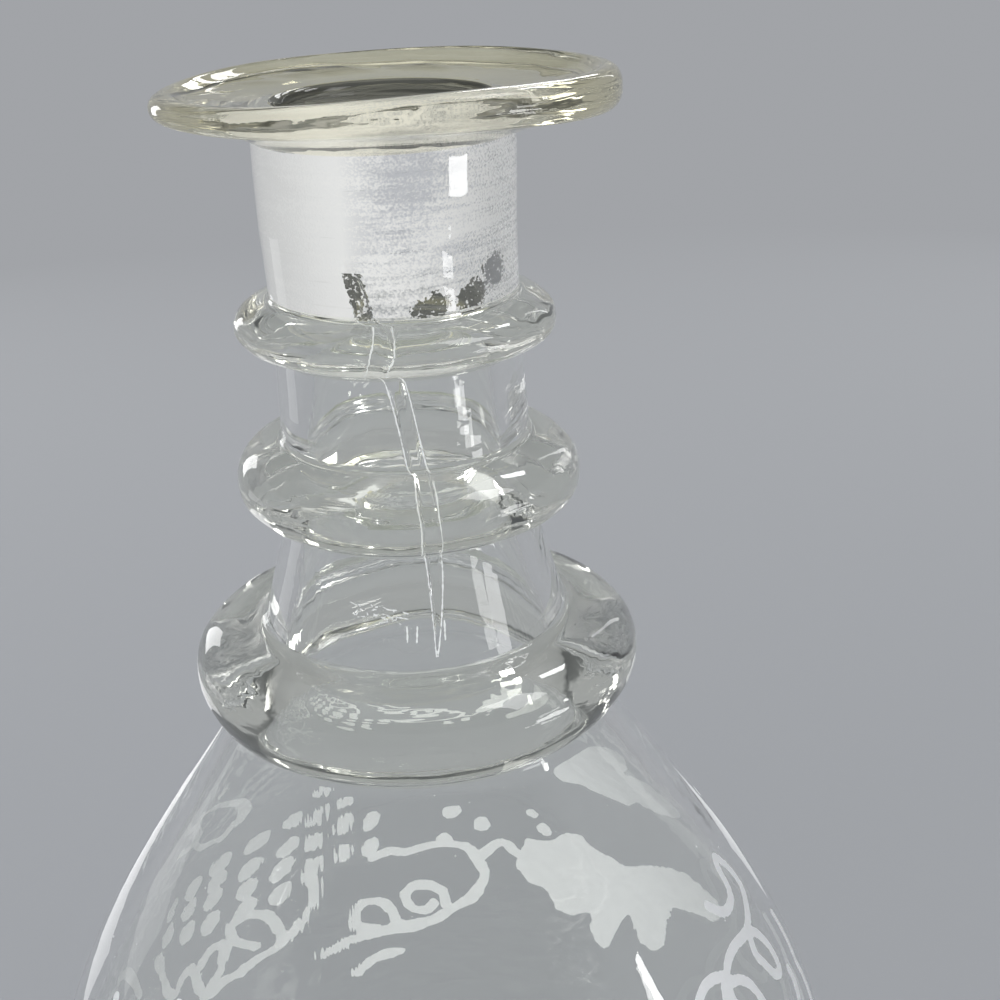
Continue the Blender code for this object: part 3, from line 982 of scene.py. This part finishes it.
def fold_glints_and_scratches_mesh(bore):
    """Painted highlights along the fold's edges, scratches and painted glint lines, on the inside of the
    neck.
    """
    drawing = SurfaceDrawing(bore, BORE_GRID)
    # Painted highlight: a white frost line along each edge of the fold
    for side in (-1, 1):
        edge = [(degrees + side * half, height) for degrees, height, half in FOLD_STATIONS[:-2]]
        drawing.stroke(edge, FOLD_HIGHLIGHT_WIDTH)
    for scratch_or_glint_line in SCRATCHES_AND_GLINT_LINES:
        drawing.stroke(scratch_or_glint_line, SCRATCH_AND_GLINT_WIDTH)
    chance = np.random.default_rng(5)
    for _ in range(SCUFF_COUNT):
        start = np.array(SCUFF_PLACE) + np.array(SCUFF_REACH) * chance.uniform(-1, 1, 2)
        run = np.array([chance.uniform(-longest, longest) for longest in SCUFF_RUN])
        drawing.stroke((start, start + run), SCUFF_WIDTH)
    drawing.roughen(NECK_RAGGEDNESS)
    return drawing.film_mesh("decanter_neck_fold_glints_and_scratches", bore_swell, -FILM_GAP, FILM_THICKNESS)


# Frost: colour, share of glow, strength and depth of its grain, and how much shows by its cloud
FROST_COLOUR, FROST_GLOW, FROST_BUMP = (0.97, 0.98, 1.0), 0.45, (0.5, 0.0001)
FROST_SHOWS = (0.35, 0.7, 1.0, 0.88)


def etched_frost_and_painted_glints(tree):
    """White etched glass, seen alike from outside and through the decanter; the same white also draws the
    painted highlights and glint lines in the neck.
    """
    normal = bump(tree, noise(tree, *FROST_GRAIN), *FROST_BUMP)
    face = add_node(tree, "BsdfPrincipled", Base_Color=(*FROST_COLOUR, 1.0),
                    Roughness=0.55, Normal=normal).outputs[0]
    glow = plain_shader(tree, "BsdfTranslucent", FROST_COLOUR)
    clear = plain_shader(tree, "BsdfTransparent", (1.0, 1.0, 1.0))
    share = remap(tree, noise(tree, *FROST_CLOUD), *FROST_SHOWS)
    film = mix_shaders(tree, share, clear, mix_shaders(tree, FROST_GLOW, face, glow))
    return lamps_through(tree, film, (0.8, 0.8, 0.8))


# Lip

LIP_SHIFT = 0.0007
LIP_FORWARD_TILT = -0.024
LIP_SADDLE, LIP_SADDLE_TURN = 0.0004, 0.24
LIP_THICK_SIDE = 0.30
LIP_LEDGE_WIDTH = 0.0030
LIP_LEDGE_DEPTH = 0.0016
LIP_SQUARENESS = 0.82
# The throat's last spans take the seat's ground glass; above the grinding's top edge they are painted dark,
# a painted shade
LIP_GROUND_SPANS = 9
# Reach of the dish's curves from the crest, down to the ledge, from the ledge and down to the throat
CREST_SHARE, DROP_SHARE, DROP_RISE_SHARE = 0.35, 0.45, 0.10
LEDGE_SHARE, LEDGE_FALL_SHARE, THROAT_SHARE = 0.3, 0.1, 0.4
# Swells of the lip outwards and upwards, and of its dish: (amplitude, phase)
LIP_OUT_SWELL, LIP_UP_SWELL = (0.0005, 1.3), (0.0003, 2.6)
LIP_DISH_SWELL, LIP_DISH_MARKS = (0.00045, 0.6), (0.00018, 2.9)
LIP_MARKS_TWIST = 0.12


def lip_mesh():
    """Pouring lip with its uneven, tooled rim."""
    rim = LIP_RIM_THICKNESS / 2
    rim_radius, rim_height = LIP_RADIUS - rim, LIP_TOP_HEIGHT - rim
    bottom = NECK_END_HEIGHT + SEAM_GAP
    section = [(SEAT_TOP_RADIUS, bottom), (NECK_END_RADIUS, bottom)]
    for share in shares(4 * FINE)[1:]:
        section.append((between(NECK_END_RADIUS, rim_radius, share),
                        between(bottom, rim_height - rim, sin(pi / 2 * share))))
    for share in (*shares(6 * FINE), 1.0):
        angle = pi * (share - 0.5)
        squared = math.copysign(abs(sin(angle)) ** LIP_SQUARENESS, angle)
        section.append((rim_radius + rim * cos(angle) ** LIP_SQUARENESS, rim_height + rim * squared))
    throat_radius = SEAT_TOP_RADIUS + LIP_THROAT_ROUND
    throat_height = LIP_TOP_HEIGHT - LIP_DISH_DEPTH
    crest = section.pop()
    ledge = (crest[0] - LIP_LEDGE_WIDTH, LIP_TOP_HEIGHT - LIP_LEDGE_DEPTH)
    dish_row, crest_steps, dish_steps = len(section), 3 * FINE, 4 * FINE
    crest_handle = (between(crest[0], ledge[0], CREST_SHARE), crest[1])
    drop_handle = (between(ledge[0], crest[0], DROP_SHARE), between(ledge[1], crest[1], DROP_RISE_SHARE))
    ledge_fall = LEDGE_FALL_SHARE * LIP_LEDGE_DEPTH
    ledge_handle = (between(ledge[0], throat_radius, LEDGE_SHARE), ledge[1] - ledge_fall)
    throat_handle = (between(throat_radius, ledge[0], THROAT_SHARE), throat_height)
    section += bezier(crest, crest_handle, drop_handle, ledge, crest_steps)
    section += bezier(ledge, ledge_handle, throat_handle, (throat_radius, throat_height), dish_steps)
    for step in range(2 * FINE + 1):
        angle = pi / 2 * step / (2 * FINE)
        section.append((throat_radius - LIP_THROAT_ROUND * sin(angle),
                        throat_height - LIP_THROAT_ROUND * (1 - cos(angle))))
    clear_spans = len(section) - 1 - LIP_GROUND_SPANS
    finishes = [SEAM] + [CLEAR] * clear_spans + [GROUND] * LIP_GROUND_SPANS

    def wobble(theta, radius, height, row):
        share = min(max((radius - NECK_END_RADIUS) / (LIP_RADIUS - NECK_END_RADIUS), 0.0), 1.0)
        if row <= 1:
            swell = vessel_swell(theta, NECK_END_HEIGHT) if row == 1 else 0.0 * theta
            return swell, 0.0
        out = share * (LIP_SHIFT * np.cos(theta) + waves(theta, 0.0, *LIP_OUT_SWELL))
        from_middle = height - rim_height
        tilt = LIP_FORWARD_TILT * radius * np.sin(theta)
        saddle = LIP_SADDLE * np.cos(2 * theta - LIP_SADDLE_TURN)
        up = tilt - saddle + waves(theta, 0.0, *LIP_UP_SWELL)
        up = up + from_middle * LIP_THICK_SIDE * np.cos(theta)
        if row > dish_row:
            fade = sin(pi * min((row - dish_row) / (crest_steps + dish_steps), 1.0))
            marks = waves(5 * theta + LIP_MARKS_TWIST * row, 0.0, *LIP_DISH_MARKS)
            up = up + fade * (waves(2 * theta, 0.0, *LIP_DISH_SWELL) + marks)
        return out, share * up

    return turned_mesh("decanter_lip", section, finishes, wobble)


def build_glass():
    outer = outer_outline()
    seam, ground = material("fused_seam", fused_seam), material("ground_seat_glass", ground_glass_and_painted_shade)
    vessel_glass, ring_glass, lip_glass = (material(name, clear_glass, *values)
                                           for name, *values in CLEAR_GLASSES)
    backs = [(name, ring_back(outer, *sizes)) for name, *sizes in RINGS]
    junctions = [(back[0][1], back[-1][1]) for _, back in backs]
    outside = with_heights(outer, [height for pair in junctions for height in pair])
    inside = inner_outline(outer)[::-1]
    vessel = show(vessel_mesh(outside, inside, junctions), vessel_glass, seam, ground)
    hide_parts("vessel")
    for phase, (name, back) in enumerate(backs, start=1):
        ring = show(ring_mesh("decanter_ring_" + name, outside, back, phase), ring_glass, seam)
        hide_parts("neck_ring_" + name)
    lip = show(lip_mesh(), lip_glass, seam, ground)
    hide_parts("pouring_lip")
    bore = [point for point in inside[::-1] if point[1] > BELLY_HEIGHT]
    frost_and_glints = material("etched_frost_and_painted_glints", etched_frost_and_painted_glints)
    show(etched_mesh(outer), frost_and_glints)
    show(fold_glints_and_scratches_mesh(bore), frost_and_glints)


# Studio

BACKDROP_TONE = (0.36, 0.37, 0.39)
ROOM_LIGHT = (0.50, 0.51, 0.52)
FLOOR_RADIUS = 8.0
# Distances from the decanter between which the lit floor fades into the backdrop's even tone
FLOOR_FADE = (0.25, 0.95)
LAMP_AIM = Vector((0.0, 0.0, 0.17))

# (name, place, width and height, radiance)
SOFTBOXES = (
    ("window_right", (1.11, -0.30, 0.37), (0.05, 0.13), 14.0),
    ("window_high", (0.58, -0.27, 0.93), (0.34, 0.40), 5.0),
    ("window_middle", (0.356, -0.180, 0.183), (0.08, 0.030), 5.0),
    ("window_low", (0.3577, -0.1804, 0.132), (0.12, 0.0285), 9.0),
    ("skylight", (0.68, 0.46, 1.20), (0.20, 0.22), 14.0),
    ("window_left", (-0.50, 0.72, 0.27), (0.16, 0.34), 3.2),
    ("strip_right", (0.62, 0.85, 0.60), (0.05, 0.50), 2.4),
    ("window_foot", (0.358, -0.180, 0.080), (0.08, 0.026), 6.0),
    ("window_sill", (0.317, -0.244, 0.1015), (0.063, 0.012), 6.5),
    ("card_left", (-0.154, 0.214, 0.018), (0.15, 0.04), 0.85),
    ("card_right", (0.136, 0.204, 0.018), (0.05, 0.03), 0.60),
    ("card_neck", (-0.345, 0.200, 0.095), (0.12, 0.055), 0.60),
    ("ceiling", (0.0, 0.1, 1.5), (1.5, 1.5), 0.4),
    ("front_fill", (-0.35, -1.40, 0.50), (1.20, 0.90), 5.0),
    ("back_fill_left", (-0.60, 0.95, 0.38), (0.60, 0.60), 4.0),
    ("back_fill_right", (0.65, 0.95, 0.38), (0.60, 0.60), 3.4),
)
# Softboxes that light the glass and aren't seen in it, and those that only shine in it
ONLY_LIGHTS = ("ceiling", "front_fill", "back_fill_left", "back_fill_right")
ONLY_SHINES = ("window_high", "window_middle", "window_low", "window_foot", "window_sill", "window_left",
               "skylight", "card_left", "card_right", "card_neck", "pane")
# Panes of a far window, which glint in the lip alone: (elevation, azimuths) of each row, in degrees
PANE_ROWS = ((22, (10, 19)), (30, (10, 19)), (42, (25, 34)))
PANE_DISTANCE, PANE_SIZE, PANE_RADIANCE = 0.90, (0.110, 0.095), 8.0


def seen_directly(tree):
    """1 for rays that see the surround, from the camera or by way of the glass, and 0 for its light."""
    rays = add_node(tree, "LightPath").outputs
    seen = math_node(tree, "MAXIMUM", rays["Is Camera Ray"], rays["Is Glossy Ray"])
    return math_node(tree, "MAXIMUM", seen, rays["Is Transmission Ray"])


def floor_paint(tree):
    """Paint that takes the decanter's shadow near it, and has the backdrop's even tone far away."""
    reach = vector_measure(tree, "LENGTH", object_place(tree))
    far = remap(tree, reach, *FLOOR_FADE, 0.0, 1.0)
    share = math_node(tree, "MULTIPLY", far, seen_directly(tree))
    paint = plain_shader(tree, "BsdfDiffuse", BACKDROP_TONE)
    even = plain_shader(tree, "Emission", BACKDROP_TONE)
    return mix_shaders(tree, share, paint, even)


def build_floor():
    bpy.ops.mesh.primitive_circle_add(vertices=96, radius=FLOOR_RADIUS, fill_type="NGON")
    floor = bpy.context.object
    floor.name = "studio_floor"
    floor.data.materials.append(material("studio_floor", floor_paint))


# Tone of the room by height, from straight down (0) to straight up (1)
ROOM_TONES = (
    (0.50, BACKDROP_TONE), (0.66, BACKDROP_TONE), (0.71, (0.07, 0.075, 0.08)),
    (0.86, (0.09, 0.095, 0.10)), (0.93, (0.85, 0.87, 0.90)),
)


def build_world():
    world = bpy.data.worlds.new("studio_world")
    scene.world = world
    world.use_nodes = True
    tree = world.node_tree
    tree.nodes.clear()
    direction = add_node(tree, "TexCoord").outputs["Generated"]
    height = remap(tree, axes(tree, direction)["Z"], -1.0, 1.0, 0.0, 1.0)
    ramp = add_node(tree, "ValToRGB", Fac=height)
    stops = ramp.color_ramp.elements
    while len(stops) < len(ROOM_TONES):
        stops.new(1.0)
    for stop, (place, tone) in zip(stops, ROOM_TONES):
        stop.position = place
        stop.color = (*tone, 1.0)
    room = add_node(tree, "Background", Color=ramp.outputs["Color"]).outputs[0]
    light = plain_shader(tree, "Background", ROOM_LIGHT)
    add_node(tree, "OutputWorld", Surface=mix_shaders(tree, seen_directly(tree), light, room))


def add_softbox(name, place, size, radiance):
    light = bpy.data.lights.new(name, "AREA")
    light.shape = "RECTANGLE"
    light.size, light.size_y = size
    light.energy = pi * size[0] * size[1] * radiance
    lamp = add_object(name, light)
    lamp.location = place
    lamp.rotation_euler = (LAMP_AIM - Vector(place)).to_track_quat("-Z", "Y").to_euler()
    lamp.visible_camera = False
    lamp.visible_glossy = name not in ONLY_LIGHTS
    lamp.visible_transmission = name not in ONLY_LIGHTS and not name.startswith(("card", "pane"))
    lamp.visible_diffuse = name not in ONLY_SHINES
    return lamp


def add_panes():
    """Panes that shine on the lip and on nothing else."""
    lip_only = bpy.data.collections.new("lip_only")
    lip_only.objects.link(bpy.data.objects["decanter_lip"])
    for elevation, azimuths in PANE_ROWS:
        above = radians(elevation)
        level = PANE_DISTANCE * cos(above)
        for azimuth in azimuths:
            around = radians(azimuth)
            place = (level * sin(around), level * cos(around),
                     LIP_TOP_HEIGHT + PANE_DISTANCE * sin(above))
            pane = add_softbox("pane", place, PANE_SIZE, PANE_RADIANCE)
            pane.light_linking.receiver_collection = lip_only


def build_studio():
    build_floor()
    build_world()
    for softbox in SOFTBOXES:
        add_softbox(*softbox)
    add_panes()


# Camera and rays

# Bounces of a ray in the glass, and passes through what is transparent
MOST_BOUNCES, MOST_PASSES = 64, 48


def build_camera():
    """The photograph's camera, turned by its right, up and forward directions."""
    forward = Vector((sin(CAMERA_YAW) * cos(CAMERA_PITCH),
                      cos(CAMERA_YAW) * cos(CAMERA_PITCH), -sin(CAMERA_PITCH)))
    level = forward.cross(Vector((0, 0, 1))).normalized()
    above = level.cross(forward)
    right = level * cos(CAMERA_ROLL) + above * sin(CAMERA_ROLL)
    up = above * cos(CAMERA_ROLL) - level * sin(CAMERA_ROLL)
    camera = add_object("photo_camera", bpy.data.cameras.new("photo_camera"))
    camera.data.sensor_width = SENSOR_WIDTH
    camera.data.lens = CAMERA_FOCAL_PIXELS / PHOTO_SIDE * SENSOR_WIDTH
    turn = Matrix((right, up, -forward)).transposed().to_4x4()
    camera.matrix_world = Matrix.Translation(CAMERA_PLACE) @ turn
    camera.data.clip_start = NEAR_CLIP
    scene.camera = camera


def light_path_limits():
    """Room for rays to pass every wall of the glass, and calm noise."""
    cycles = scene.cycles
    cycles.max_bounces = cycles.transmission_bounces = cycles.glossy_bounces = MOST_BOUNCES
    cycles.transparent_max_bounces = MOST_PASSES
    cycles.caustics_reflective = cycles.caustics_refractive = False


scene.view_settings.view_transform = "Standard"
build_camera()
build_glass()
build_studio()
light_path_limits()
